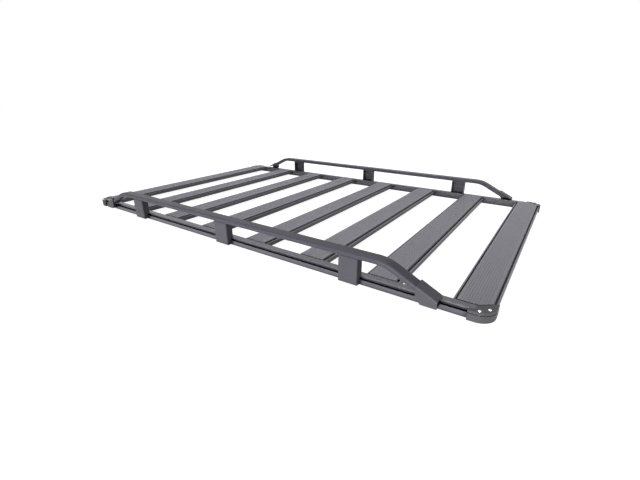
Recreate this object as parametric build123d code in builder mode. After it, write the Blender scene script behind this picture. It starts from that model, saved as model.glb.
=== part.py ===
from build123d import *
import math
import os

os.makedirs("parts", exist_ok=True)

# Flat platform roof rack, millimetres.
# X runs along the rack (front is +X), Y across it (right is -Y), Z up from the floor.

# Tray
slat_count = 8
slat_pitch = 240.0
slat_width = 99.5
slat_height = 20.0
slat_proud = 1.8
rack_width = 1092.0
side_width = 21.5
side_height = 30.5

# Slat section: ribbed deck, a lower T-slot opening upwards along each long edge, two hollow chambers
slat_skin = 2.4
slat_web = 2.0
edge_wall = 1.6
edge_rim = 4.0
edge_drop = 6.5
edge_slot_opening = 4.75
edge_slot_width = 11.5
edge_slot_lip = 3.0
edge_slot_floor = 2.6
deck_round = 5.0
seam = 2.0
seam_depth = 4.0
rib_count = 10
rib_pitch = 6.6
rib_groove_width = 1.4
rib_groove_depth = 0.6

# Side profile section: a T-slot opening outwards, two hollow chambers
side_skin = 2.2
side_slot_top = 4.7
side_slot_opening = 10.2
side_slot_lip = 2.8
side_slot_width = 15.4
side_slot_depth = 8.0
side_edge = 1.5

# Corner caps
cap_joint = 44.75
cap_flank = 14.5
cap_reach = 32.5
cap_proud_end = 3.25
cap_proud_side = 11.0
cap_radius = 43.0
cap_plate = 7.5
cap_groove = 2.2
cap_groove_depth = 2.5
cap_base = 1.8
cap_wall = 3.5
cap_hole_radius = 3.3
cap_hole_side = 6.5
cap_hole_end = 15.2
cap_hole_step_x = 18.8
cap_hole_step_y = 18.7
cap_edge = 1.2

# Rails
rail_width = 39.0
rail_thickness = 16.5
rail_corner = 6.0
rail_wall = 2.0
rail_rise = 65.6
rail_outset = 8.9
rail_inset = 155.75
rail_slope = 26.5
rail_bend = 110.0
rail_end_gap = 3.0

# Folded brackets under the rails
sheet = 3.0
fold = 4.5
post_inset = 108.25
post_width = 61.5
post_front = 24.0
post_back = 4.0
post_base = 6.0
post_clearance = 4.0

# Feet that take the ends of the rails
foot_lap = 21.0
foot_length = 55.5
foot_clearance = 0.4
foot_chamfer = 15.0

# Derived
deck = side_height
tread = deck + slat_proud
half_length = (slat_count - 1) * slat_pitch / 2 + slat_width / 2
side_face = -rack_width / 2
inner_face = side_face + side_width
slat_length = rack_width - 2 * side_width
cap_end_x = half_length + cap_proud_end
cap_joint_x = cap_end_x - cap_joint
cap_side_y = side_face - cap_proud_side
cap_reach_y = inner_face + cap_reach
side_length = 2 * cap_joint_x
rail_y = side_face - rail_outset
rail_z = deck + rail_rise
rail_under = rail_z - rail_thickness / 2
slope_tan = math.tan(math.radians(rail_slope))
slope_cos = math.cos(math.radians(rail_slope))
rail_end_z = deck + rail_end_gap + rail_thickness / 2 * slope_cos
rail_end = half_length - rail_inset
rail_half_span = rail_end - (rail_z - rail_end_z) / slope_tan
post_spacing = rail_half_span - post_inset
foot_start = rail_end - foot_lap
foot_finish = foot_start + foot_length


def save(part, label):
    part.label = label
    export_step(part, "parts/" + label + ".step")


# Slats
edge_slot_centre = slat_width / 2 - edge_wall - edge_slot_width / 2
edge_opening_centre = slat_width / 2 - edge_rim - edge_slot_opening / 2
edge_slot_top = tread - edge_drop - edge_slot_lip
edge_slot_height = slat_height - edge_drop - edge_slot_lip - edge_slot_floor
chamber_width = slat_width / 2 - edge_wall - edge_slot_width - 1.5 * slat_web
chamber_height = slat_height - 2 * slat_skin
chamber_centre = slat_web / 2 + chamber_width / 2

for index in range(slat_count):
    slat_x = (index - (slat_count - 1) / 2) * slat_pitch
    with BuildPart() as slat:
        with BuildSketch(Plane.XZ) as slat_section:
            with Locations((slat_x, tread - slat_height / 2)):
                Rectangle(slat_width, slat_height)
            for side in (-1, 1):
                with Locations((slat_x + side * (slat_width - edge_rim) / 2, tread - edge_drop / 2)):
                    Rectangle(edge_rim, edge_drop, mode=Mode.SUBTRACT)
                with Locations((slat_x + side * edge_opening_centre, (tread + edge_slot_top) / 2)):
                    Rectangle(edge_slot_opening, tread - edge_slot_top, mode=Mode.SUBTRACT)
            fillet(slat_section.vertices().group_by(Axis.Y)[-1], deck_round)
            for side in (-1, 1):
                with Locations((slat_x + side * edge_slot_centre, edge_slot_top - edge_slot_height / 2)):
                    Rectangle(edge_slot_width, edge_slot_height, mode=Mode.SUBTRACT)
                with Locations((slat_x + side * chamber_centre, tread - slat_height / 2)):
                    Rectangle(chamber_width, chamber_height, mode=Mode.SUBTRACT)
            with Locations((slat_x, tread - rib_groove_depth / 2)):
                with GridLocations(rib_pitch, 1, rib_count, 1):
                    Rectangle(rib_groove_width, rib_groove_depth, mode=Mode.SUBTRACT)
        extrude(amount=slat_length / 2, both=True)
        # A rebate at both ends leaves a seam beside the side profiles
        with Locations((slat_x, slat_length / 2, tread), (slat_x, -slat_length / 2, tread)):
            Box(slat_width, 2 * seam, 2 * seam_depth, mode=Mode.SUBTRACT)
        # The outer corners of the two end slats are cut off along the corner caps
        end = {0: -1, slat_count - 1: 1}.get(index, 0)
        if end:
            with BuildSketch(Plane.XY.offset(tread - slat_height)):
                for side in (-1, 1):
                    Polygon(
                        (end * cap_joint_x, side * inner_face),
                        (end * cap_end_x, side * cap_reach_y),
                        (end * cap_end_x, side * inner_face),
                        align=None,
                    )
            extrude(amount=slat_height, mode=Mode.SUBTRACT)
    save(slat.part, f"slat_{index + 1}")

# Side profiles
slot_centre_z = deck - side_slot_top - side_slot_opening / 2
slot_back = side_slot_lip + side_slot_depth
back_chamber = side_width - slot_back - 2 * side_skin
low_chamber = slot_centre_z - side_slot_width / 2 - 2 * side_skin

with BuildPart() as side_profile:
    with BuildSketch(Plane.YZ):
        with Locations((side_face + side_width / 2, side_height / 2)):
            RectangleRounded(side_width, side_height, side_edge)
        with Locations((side_face + side_slot_lip / 2, slot_centre_z)):
            Rectangle(side_slot_lip, side_slot_opening, mode=Mode.SUBTRACT)
        with Locations((side_face + side_slot_lip + side_slot_depth / 2, slot_centre_z)):
            Rectangle(side_slot_depth, side_slot_width, mode=Mode.SUBTRACT)
        with Locations((inner_face - side_skin - back_chamber / 2, side_height / 2)):
            Rectangle(back_chamber, side_height - 2 * side_skin, mode=Mode.SUBTRACT)
        with Locations((side_face + side_slot_lip + side_slot_depth / 2, side_skin + low_chamber / 2)):
            Rectangle(side_slot_depth, low_chamber, mode=Mode.SUBTRACT)
    extrude(amount=side_length / 2, both=True)
save(side_profile.part, "side_profile_right")
save(mirror(side_profile.part, about=Plane.XZ), "side_profile_left")

# Corner caps: a plate level with the deck and a hollow skirt, with a groove between them
cap_outline = (
    (cap_joint_x - cap_flank, side_face),
    (cap_joint_x - cap_flank, cap_side_y),
    (cap_end_x, cap_side_y),
    (cap_end_x, cap_reach_y),
    (cap_joint_x, inner_face),
    (cap_joint_x, side_face),
)
skirt_top = deck - cap_plate - cap_groove


def draw_cap(sketch):
    Polygon(*cap_outline, align=None)
    fillet(sketch.vertices().group_by(Axis.Y)[0].sort_by(Axis.X)[-1], cap_radius)


with BuildPart() as cap:
    with BuildSketch(Plane.XY.offset(deck - cap_plate)) as cap_top:
        draw_cap(cap_top)
    extrude(amount=cap_plate)
    with Locations(
        (cap_end_x - cap_hole_end - cap_hole_step_x, cap_side_y + cap_hole_side, deck),
        (cap_end_x - cap_hole_end, cap_side_y + cap_hole_side + cap_hole_step_y, deck),
    ):
        Hole(radius=cap_hole_radius, depth=cap_plate)
    cap_rim = cap.faces().sort_by(Axis.Z)[-1].outer_wire().edges()
    cap_outside = cap_rim.filter_by(
        lambda edge: edge.center().Y < side_face - cap_proud_side / 2 or edge.center().X > half_length
    )
    chamfer(cap_outside + cap_rim.filter_by(GeomType.CIRCLE), cap_edge)
    with BuildSketch(Plane.XY.offset(cap_base)) as cap_skirt:
        draw_cap(cap_skirt)
        offset(amount=-cap_wall - cap_groove_depth, kind=Kind.INTERSECTION, mode=Mode.SUBTRACT)
    extrude(amount=deck - cap_plate - cap_base)
    with BuildSketch(Plane.XY.offset(skirt_top)) as cap_neck:
        draw_cap(cap_neck)
        offset(amount=-cap_groove_depth, kind=Kind.INTERSECTION, mode=Mode.SUBTRACT)
    extrude(amount=cap_groove, mode=Mode.SUBTRACT)
save(cap.part, "corner_front_right")
cap_left = mirror(cap.part, about=Plane.XZ)
save(cap_left, "corner_front_left")
save(mirror(cap.part, about=Plane.YZ), "corner_rear_right")
save(mirror(cap_left, about=Plane.YZ), "corner_rear_left")

# Rails: one bent tube along each side
with BuildPart() as rail:
    with BuildLine() as rail_path:
        FilletPolyline(
            (-rail_end, rail_y, rail_end_z),
            (-rail_half_span, rail_y, rail_z),
            (rail_half_span, rail_y, rail_z),
            (rail_end, rail_y, rail_end_z),
            radius=rail_bend,
        )
    rail_start = Plane(origin=rail_path.line @ 0, x_dir=(0, 1, 0), z_dir=rail_path.line % 0)
    with BuildSketch(rail_start):
        RectangleRounded(rail_width, rail_thickness, rail_corner)
        RectangleRounded(
            rail_width - 2 * rail_wall,
            rail_thickness - 2 * rail_wall,
            rail_corner - rail_wall,
            mode=Mode.SUBTRACT,
        )
    sweep(path=rail_path.line)
save(rail.part, "rail_right")
save(mirror(rail.part, about=Plane.XZ), "rail_left")

# Posts: a folded box under the rail, open towards the tray; its flanges stand on the side profile
post_front_y = side_face - post_front
post_back_y = side_face + post_back
post_outline = (
    (post_front_y, post_base),
    (side_face, post_base),
    (side_face, post_base + sheet),
    (side_face - post_clearance, post_base + sheet),
    (side_face - post_clearance, deck),
    (post_back_y, deck),
    (post_back_y, rail_under),
    (post_front_y, rail_under),
)

for place, step in (("rear", -1), ("middle", 0), ("front", 1)):
    with BuildPart() as post:
        with BuildSketch(Plane.YZ.offset(step * post_spacing)):
            Polygon(*post_outline, align=None)
        extrude(amount=post_width / 2, both=True)
        fillet(post.faces().sort_by(Axis.Y)[0].edges(), fold)
        with Locations((step * post_spacing, post_front_y + sheet, post_base + sheet)):
            Box(
                post_width - 2 * sheet,
                post_back_y - post_front_y,
                rail_under - post_base - 2 * sheet,
                align=(Align.CENTER, Align.MIN, Align.MIN),
                mode=Mode.SUBTRACT,
            )
    save(post.part, f"post_right_{place}")
    save(mirror(post.part, about=Plane.XZ), f"post_left_{place}")

# Feet: an angle over each end of the rail, hooked into the slot of the side profile
foot_front_y = rail_y - rail_width / 2 - foot_clearance - sheet
foot_back_y = rail_y + rail_width / 2
foot_base = deck - side_slot_top - side_slot_opening
hood_gap = rail_thickness / 2 / slope_cos
hood_skin = sheet / slope_cos


def slope_z(distance):
    return rail_z - (distance - rail_half_span) * slope_tan


with BuildPart() as foot:
    with BuildSketch(Plane.XZ.offset(-foot_back_y)):
        with BuildLine():
            Polyline(
                (foot_start, foot_base + foot_chamfer),
                (foot_start + foot_chamfer, foot_base),
                (foot_finish, foot_base),
                (foot_finish, slope_z(foot_finish) + hood_gap + hood_skin),
                (foot_start, slope_z(foot_start) + hood_gap + hood_skin),
                close=True,
            )
        make_face()
    extrude(amount=foot_back_y - foot_front_y)
    foot_top = foot.faces().filter_by(lambda face: face.normal_at().Z > 0.5)
    fillet(foot_top.edges().filter_by(Axis.Y, reverse=True).sort_by(Axis.Y)[0], fold)
    # Room for the rail, open at both ends and towards the tray
    with BuildSketch(Plane.XZ.offset(-foot_back_y)):
        with BuildLine():
            Polyline(
                (foot_start, foot_base + sheet),
                (foot_finish, foot_base + sheet),
                (foot_finish, slope_z(foot_finish) + hood_gap),
                (foot_start, slope_z(foot_start) + hood_gap),
                close=True,
            )
        make_face()
    extrude(amount=foot_back_y - foot_front_y - sheet, mode=Mode.SUBTRACT)
    # The lower edge ends behind the lip of the slot
    with Locations(((foot_start + foot_finish) / 2, side_face + side_slot_lip, deck)):
        Box(
            foot_length,
            side_width,
            deck - foot_base,
            align=(Align.CENTER, Align.MIN, Align.MAX),
            mode=Mode.SUBTRACT,
        )
save(foot.part, "foot_front_right")
foot_left = mirror(foot.part, about=Plane.XZ)
save(foot_left, "foot_front_left")
save(mirror(foot.part, about=Plane.YZ), "foot_rear_right")
save(mirror(foot_left, about=Plane.YZ), "foot_rear_left")
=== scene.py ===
import math

import bmesh
import bpy
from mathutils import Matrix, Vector


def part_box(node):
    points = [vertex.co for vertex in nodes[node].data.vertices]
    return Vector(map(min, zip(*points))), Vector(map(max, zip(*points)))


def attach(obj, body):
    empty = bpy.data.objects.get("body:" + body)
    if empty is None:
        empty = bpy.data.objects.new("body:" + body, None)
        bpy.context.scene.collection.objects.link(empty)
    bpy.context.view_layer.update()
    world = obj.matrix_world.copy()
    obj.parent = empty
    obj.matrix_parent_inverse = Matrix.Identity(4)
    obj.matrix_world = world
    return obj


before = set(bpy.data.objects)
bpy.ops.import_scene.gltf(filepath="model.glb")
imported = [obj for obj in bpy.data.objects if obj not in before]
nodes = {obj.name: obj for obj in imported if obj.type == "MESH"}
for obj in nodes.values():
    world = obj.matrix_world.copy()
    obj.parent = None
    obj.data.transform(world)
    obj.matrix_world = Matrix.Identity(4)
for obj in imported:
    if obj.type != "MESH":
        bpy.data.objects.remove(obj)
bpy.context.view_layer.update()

scene = bpy.context.scene

# Camera: the photograph's viewpoint, from a fit to its straight edges
IMAGE_WIDTH = 640.0
FOCAL_LENGTH_PIXELS = 357.79
SENSOR_WIDTH = 36.0
CAMERA_PLACE = (0.9552, -1.34025, 0.4937)
CAMERA_TURN = (1.18745, 0.00176, 0.60229)

camera_data = bpy.data.cameras.new("camera")
camera_data.sensor_fit = "HORIZONTAL"
camera_data.sensor_width = SENSOR_WIDTH
camera_data.lens = SENSOR_WIDTH * FOCAL_LENGTH_PIXELS / IMAGE_WIDTH
camera_data.clip_start = 0.01
camera_data.clip_end = 100.0
camera = bpy.data.objects.new("camera", camera_data)
camera.location = CAMERA_PLACE
camera.rotation_euler = CAMERA_TURN
scene.collection.objects.link(camera)
scene.camera = camera
scene.view_settings.view_transform = "Standard"


# Materials
class Graph:
    """A new node material with its Principled shader, and short calls to add and join nodes."""

    def __init__(self, name):
        self.material = bpy.data.materials.new(name)
        self.material.use_nodes = True
        self.tree = self.material.node_tree
        self.shader = self.tree.nodes["Principled BSDF"]
        self.place = self.add("ShaderNodeTexCoord").outputs["Object"]

    def add(self, kind, **settings):
        node = self.tree.nodes.new(kind)
        for key, value in settings.items():
            setattr(node, key, value)
        return node

    def join(self, source, target):
        self.tree.links.new(source, target)

    def feed(self, source, name):
        """Leads a value into one of the shader's inputs."""
        self.join(source, self.shader.inputs[name])

    def noise(self, scale, detail, stretch=None):
        node = self.add("ShaderNodeTexNoise")
        node.inputs["Scale"].default_value = scale
        node.inputs["Detail"].default_value = detail
        vector = self.place
        if stretch:
            mapping = self.add("ShaderNodeMapping")
            mapping.inputs["Scale"].default_value = stretch
            self.join(vector, mapping.inputs["Vector"])
            vector = mapping.outputs["Vector"]
        self.join(vector, node.inputs["Vector"])
        return node.outputs["Fac"]

    def ramp(self, value, low, high, start=0.3, end=0.7):
        """Takes a value from the range start to end into the range low to high."""
        node = self.add("ShaderNodeMapRange")
        node.inputs["From Min"].default_value = start
        node.inputs["From Max"].default_value = end
        node.inputs["To Min"].default_value = low
        node.inputs["To Max"].default_value = high
        self.join(value, node.inputs["Value"])
        return node.outputs["Result"]

    def mix(self, factor, first, second):
        """Blends two colours, each a tuple or another node's output."""
        node = self.add("ShaderNodeMix", data_type="RGBA")
        self.join(factor, node.inputs["Factor"])
        for value, socket in ((first, node.inputs[6]), (second, node.inputs[7])):
            if isinstance(value, tuple):
                socket.default_value = (*value, 1.0)
            else:
                self.join(value, socket)
        return node.outputs[2]

    def times(self, first, second):
        node = self.add("ShaderNodeMath", operation="MULTIPLY")
        self.join(first, node.inputs[0])
        self.join(second, node.inputs[1])
        return node.outputs["Value"]

    def edge(self, radius):
        """1 on sharp outer edges, 0 on flat faces."""
        bevel = self.add("ShaderNodeBevel", samples=4)
        bevel.inputs["Radius"].default_value = radius
        plain = self.add("ShaderNodeNewGeometry")
        dot = self.add("ShaderNodeVectorMath", operation="DOT_PRODUCT")
        self.join(bevel.outputs["Normal"], dot.inputs[0])
        self.join(plain.outputs["Normal"], dot.inputs[1])
        return self.ramp(dot.outputs["Value"], low=1.0, high=0.0, start=0.75, end=0.98)

    def painted_recess_shade(self, reach, start, end):
        """Mask for painted shade: 1 on open faces, 0 deep in slots, seams and folds."""
        node = self.add("ShaderNodeAmbientOcclusion", samples=8)
        node.inputs["Distance"].default_value = reach
        return self.ramp(node.outputs["AO"], 0.0, 1.0, start, end)

    def level(self):
        """Mask for painted shade on walls: 1 on faces that look up or down, 0 on walls."""
        plain = self.add("ShaderNodeNewGeometry")
        axes = self.add("ShaderNodeSeparateXYZ")
        self.join(plain.outputs["Normal"], axes.inputs["Vector"])
        steep = self.add("ShaderNodeMath", operation="ABSOLUTE")
        self.join(axes.outputs["Z"], steep.inputs[0])
        return self.ramp(steep.outputs["Value"], low=0.0, high=1.0, start=0.55, end=0.95)

    def bump(self, height, strength, distance, below=None):
        node = self.add("ShaderNodeBump")
        node.inputs["Strength"].default_value = strength
        node.inputs["Distance"].default_value = distance
        self.join(height, node.inputs["Height"])
        if below:
            self.join(below, node.inputs["Normal"])
        return node.outputs["Normal"]


def tint(colour, factor):
    return tuple(min(1.0, channel * factor) for channel in colour)


def coated_metal(
    name, colour, roughness, specular, grain, recess_shade, wear, stretch=None, recess_shade_share=0.1, wall_shade_share=None
):
    """Powder coat: orange peel and fine grain, slow random change of tone, paler rubbed edges, painted
    shade in slots, seams and folds and on walls.

    recess_shade is the reach and the range of the painted shade in slots, seams and folds,
    recess_shade_share the share of the colour and of the specular level left there, and wall_shade_share
    the share of the colour on walls, a painted shade.
    """
    graph = Graph(name)
    cloud = graph.ramp(graph.noise(scale=7.0, detail=4.0, stretch=stretch), low=0.0, high=1.0)
    shade = graph.mix(cloud, tint(colour, 0.9), tint(colour, 1.1))
    speck = graph.ramp(graph.noise(scale=1400.0, detail=2.0), low=0.0, high=0.3, start=0.38, end=0.62)
    shade = graph.mix(speck, shade, tint(colour, 1.45))
    patchy = graph.ramp(graph.noise(scale=90.0, detail=5.0), low=0.0, high=wear)
    shade = graph.mix(graph.times(graph.edge(radius=0.0009), patchy), shade, tint(colour, 2.2))
    # Painted shade: walls get a darker colour than faces that look up or down, standing in for the shade
    # on them.
    if wall_shade_share:
        shade = graph.mix(graph.level(), tint(colour, wall_shade_share), shade)
    # Painted shade: slots, seams and folds get a darker colour and a lower specular level, standing in for
    # the shade that falls there.
    unshaded_share = graph.painted_recess_shade(*recess_shade)
    graph.feed(graph.mix(unshaded_share, tint(colour, recess_shade_share), shade), "Base Color")
    matt = graph.noise(scale=60.0, detail=4.0)
    graph.feed(graph.ramp(matt, roughness - 0.06, roughness + 0.06), "Roughness")
    specular_with_painted_shade = graph.ramp(unshaded_share, specular * recess_shade_share, specular, start=0.0, end=1.0)
    graph.feed(specular_with_painted_shade, "Specular IOR Level")
    peel = graph.bump(graph.noise(scale=260.0, detail=2.0), strength=0.25 * grain, distance=0.0004)
    fine = graph.noise(scale=1500.0, detail=2.0)
    graph.feed(graph.bump(fine, strength=0.3 * grain, distance=0.00012, below=peel), "Normal")
    return graph.material


def moulded_plastic(name, colour, roughness, specular):
    """Glass-filled moulding: fine spark-eroded grain, faint flow marks, paler rubbed edges."""
    graph = Graph(name)
    flow = graph.ramp(graph.noise(scale=22.0, detail=4.0, stretch=(1.0, 1.0, 3.0)), low=0.0, high=1.0)
    shade = graph.mix(flow, tint(colour, 0.88), tint(colour, 1.12))
    patchy = graph.ramp(graph.noise(scale=120.0, detail=4.0), low=0.1, high=0.5)
    rubbed = graph.times(graph.edge(radius=0.0008), patchy)
    graph.feed(graph.mix(rubbed, shade, tint(colour, 2.0)), "Base Color")
    matt = graph.noise(scale=80.0, detail=3.0)
    graph.feed(graph.ramp(matt, roughness - 0.07, roughness + 0.07), "Roughness")
    graph.shader.inputs["Specular IOR Level"].default_value = specular
    grain = graph.add("ShaderNodeTexVoronoi")
    grain.inputs["Scale"].default_value = 1100.0
    graph.join(graph.place, grain.inputs["Vector"])
    graph.feed(graph.bump(grain.outputs["Distance"], strength=0.25, distance=0.00015), "Normal")
    return graph.material


def bright_steel(name, colour, roughness):
    """Stainless steel with small scuffs."""
    graph = Graph(name)
    scuff = graph.noise(scale=900.0, detail=5.0)
    worn = graph.ramp(scuff, low=0.0, high=1.0)
    graph.feed(graph.mix(worn, tint(colour, 0.9), colour), "Base Color")
    matt = graph.noise(scale=2600.0, detail=3.0)
    graph.feed(graph.ramp(matt, roughness - 0.07, roughness + 0.07), "Roughness")
    graph.shader.inputs["Metallic"].default_value = 1.0
    graph.feed(graph.bump(scuff, strength=0.15, distance=0.00005), "Normal")
    return graph.material


# Each paint sets how far the painted shade reaches into slots, seams and folds and how dark it is there;
# the deck paint also paints shade on its walls.
slat_paint = coated_metal(
    "deck_grey", colour=(0.262, 0.256, 0.298), roughness=0.5, specular=0.34, grain=0.7,
    recess_shade=(0.007, 0.2, 0.75), wear=0.4, stretch=(1.0, 0.35, 1.0), recess_shade_share=0.08, wall_shade_share=0.45,
)
side_paint = coated_metal(
    "side_grey", colour=(0.085, 0.083, 0.101), roughness=0.26, specular=0.5, grain=0.5,
    recess_shade=(0.014, 0.35, 0.9), wear=0.4, stretch=(0.35, 1.0, 1.0), recess_shade_share=0.28,
)
rail_paint = coated_metal(
    "rail_black", colour=(0.070, 0.067, 0.085), roughness=0.33, specular=0.095, grain=0.6,
    recess_shade=(0.012, 0.2, 0.75), wear=0.35,
)
bracket_paint = coated_metal(
    "bracket_black", colour=(0.073, 0.071, 0.084), roughness=0.42, specular=0.15, grain=0.8,
    recess_shade=(0.045, 0.2, 0.75), wear=0.4, recess_shade_share=0.65,
)
cap_plastic = moulded_plastic("cap_black", colour=(0.058, 0.057, 0.065), roughness=0.55, specular=0.35)
steel = bright_steel("screw_steel", colour=(0.86, 0.86, 0.85), roughness=0.3)

# Each node takes the finish that the first word of its name stands for
PAINT = {
    "slat": slat_paint,
    "side": side_paint,
    "rail": rail_paint,
    "post": bracket_paint,
    "foot": bracket_paint,
    "corner": cap_plastic,
}
for name, node in nodes.items():
    node.data.materials.clear()
    node.data.materials.append(PAINT[name.split("_")[0]])


# Screws that hold the corner caps, seated in the caps' holes
HOLE_FROM_END = 0.0152
HOLE_FROM_SIDE = 0.0065
HOLE_STEP_X = 0.0188
HOLE_STEP_Y = 0.0187
SHANK_RADIUS = 0.0030
SHANK_LENGTH = 0.0140
TIP_RADIUS = 0.8 * SHANK_RADIUS
TIP_CHAMFER = 0.0008
HEAD_RADIUS = 0.0040
HEAD_RISE = 0.0021
HEX_FLAT = 0.0011
HEX_DEPTH = 0.0009
FACETS = 48
SHARP_ANGLE = 35.0
# The domed head from its rim up: shares of its radius, and heights above the cap
HEAD_DOME = ((1.0, 0.0), (1.0, 0.0004), (0.93, 0.0012), (0.76, 0.0018), (0.55, HEAD_RISE))

cap_low, cap_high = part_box("corner_front_right")
deck = cap_high.z
end_hole = (cap_high.x - HOLE_FROM_END, cap_low.y + HOLE_FROM_SIDE + HOLE_STEP_Y)
side_hole = (end_hole[0] - HOLE_STEP_X, end_hole[1] - HOLE_STEP_Y)


def hexagon(angle):
    """Distance from the middle of the hexagon socket to its wall, at an angle."""
    part = math.radians(60.0)
    return HEX_FLAT / math.cos((angle % part) - part / 2)


def add_screw(name, x, y, turn):
    """A domed screw with its head on the cap; a ring without a radius belongs to the hexagon socket."""
    rings = [(TIP_RADIUS, -SHANK_LENGTH), (SHANK_RADIUS, -SHANK_LENGTH + TIP_CHAMFER), (SHANK_RADIUS, 0.0)]
    rings += [(HEAD_RADIUS * share, height) for share, height in HEAD_DOME]
    rings += [(None, HEAD_RISE), (None, HEAD_RISE - HEX_DEPTH)]
    mesh = bmesh.new()
    loops = []
    for radius, height in rings:
        loop = []
        for step in range(FACETS):
            angle = 2 * math.pi * step / FACETS
            reach = radius if radius else hexagon(angle)
            spot = (x + reach * math.cos(angle + turn), y + reach * math.sin(angle + turn), deck + height)
            loop.append(mesh.verts.new(spot))
        loops.append(loop)
    for low, high in zip(loops, loops[1:]):
        for step in range(FACETS):
            after = (step + 1) % FACETS
            mesh.faces.new((low[step], low[after], high[after], high[step]))
    mesh.faces.new(list(reversed(loops[0])))
    mesh.faces.new(loops[-1])
    for face in mesh.faces:
        face.smooth = True
    data = bpy.data.meshes.new(name)
    mesh.to_mesh(data)
    mesh.free()
    data.set_sharp_from_angle(angle=math.radians(SHARP_ANGLE))
    data.materials.append(steel)
    screw = bpy.data.objects.new(name, data)
    scene.collection.objects.link(screw)
    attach(screw, "root")


# The sockets of the screws are turned by different angles
for end, along in (("front", 1), ("rear", -1)):
    for side, across in (("right", 1), ("left", -1)):
        for number, (x, y) in enumerate((side_hole, end_hole)):
            turn = 0.4 + 0.9 * number + 0.5 * along + 0.3 * across
            add_screw(f"cap_screw_{end}_{side}_{number + 1}", along * x, across * y, turn)


# World and floor: white to the camera and in reflections, soft light otherwise
WORLD_LIGHT = 0.16
FLOOR_GLOW = 0.93
FLOOR_PALE = 0.45
FLOOR_BOUNCE = 0.32
FLOOR_REACH = 15.0
# The floor lies just below the rack, so that their faces do not coincide
FLOOR_LEVEL = -0.0002


def seen_directly(tree):
    """1 for what the camera sees, directly or mirrored, 0 for scattered light."""
    path = tree.nodes.new("ShaderNodeLightPath")
    total = path.outputs["Is Camera Ray"]
    for kind in ("Is Glossy Ray", "Is Transmission Ray"):
        either = tree.nodes.new("ShaderNodeMath")
        either.operation = "MAXIMUM"
        tree.links.new(total, either.inputs[0])
        tree.links.new(path.outputs[kind], either.inputs[1])
        total = either.outputs["Value"]
    return total


def add_world():
    world = bpy.data.worlds.new("studio")
    scene.world = world
    world.use_nodes = True
    tree = world.node_tree
    background = tree.nodes["Background"]
    background.inputs["Color"].default_value = (1.0, 1.0, 1.0, 1.0)
    strength = tree.nodes.new("ShaderNodeMapRange")
    strength.inputs["To Min"].default_value = WORLD_LIGHT
    strength.inputs["To Max"].default_value = 1.0
    tree.links.new(seen_directly(tree), strength.inputs["Value"])
    tree.links.new(strength.outputs["Result"], background.inputs["Strength"])


def floor_finish():
    """A pale glowing floor to the eye, a plain grey one to scattered light, and clear from below."""
    material = bpy.data.materials.new("floor")
    material.use_nodes = True
    tree = material.node_tree
    tree.nodes.remove(tree.nodes["Principled BSDF"])

    def diffuse(grey):
        node = tree.nodes.new("ShaderNodeBsdfDiffuse")
        node.inputs["Color"].default_value = (grey, grey, grey, 1.0)
        return node.outputs["BSDF"]

    def blend(factor, first, second):
        node = tree.nodes.new("ShaderNodeMixShader")
        tree.links.new(factor, node.inputs["Fac"])
        tree.links.new(first, node.inputs[1])
        tree.links.new(second, node.inputs[2])
        return node.outputs["Shader"]

    glow = tree.nodes.new("ShaderNodeEmission")
    glow.inputs["Strength"].default_value = FLOOR_GLOW
    shown = tree.nodes.new("ShaderNodeAddShader")
    tree.links.new(diffuse(FLOOR_PALE), shown.inputs[0])
    tree.links.new(glow.outputs["Emission"], shown.inputs[1])
    from_above = blend(seen_directly(tree), diffuse(FLOOR_BOUNCE), shown.outputs["Shader"])
    below = tree.nodes.new("ShaderNodeNewGeometry").outputs["Backfacing"]
    clear = tree.nodes.new("ShaderNodeBsdfTransparent").outputs["BSDF"]
    surface = tree.nodes["Material Output"].inputs["Surface"]
    tree.links.new(blend(below, from_above, clear), surface)
    return material


def add_floor():
    corners = [(-1, -1), (1, -1), (1, 1), (-1, 1)]
    points = [(x * FLOOR_REACH, y * FLOOR_REACH, FLOOR_LEVEL) for x, y in corners]
    mesh = bpy.data.meshes.new("floor")
    mesh.from_pydata(points, [], [(0, 1, 2, 3)])
    mesh.materials.append(floor_finish())
    floor = bpy.data.objects.new("floor", mesh)
    scene.collection.objects.link(floor)


add_world()
add_floor()


# Lamps
def add_softbox(name, place, target, size, spread, power):
    data = bpy.data.lights.new(name, "AREA")
    data.shape = "RECTANGLE"
    data.size, data.size_y = size
    data.spread = math.radians(spread)
    data.energy = power
    lamp = bpy.data.objects.new(name, data)
    lamp.location = place
    lamp.rotation_euler = (Vector(target) - Vector(place)).to_track_quat("-Z", "Y").to_euler()
    scene.collection.objects.link(lamp)


add_softbox(
    "softbox_top", place=(-0.4, 1.0, 2.3), target=(-0.2, 0.3, 0.0),
    size=(2.0, 1.4), spread=180.0, power=34.5,
)
add_softbox(
    "softbox_side", place=(1.0, -2.3, 0.16), target=(0.88, -0.55, 0.05),
    size=(3.6, 0.22), spread=60.0, power=17.2,
)
add_softbox(
    "softbox_front", place=(1.7, -0.2, 0.07), target=(0.9, -0.25, 0.02),
    size=(0.8, 0.08), spread=90.0, power=0.6,
)
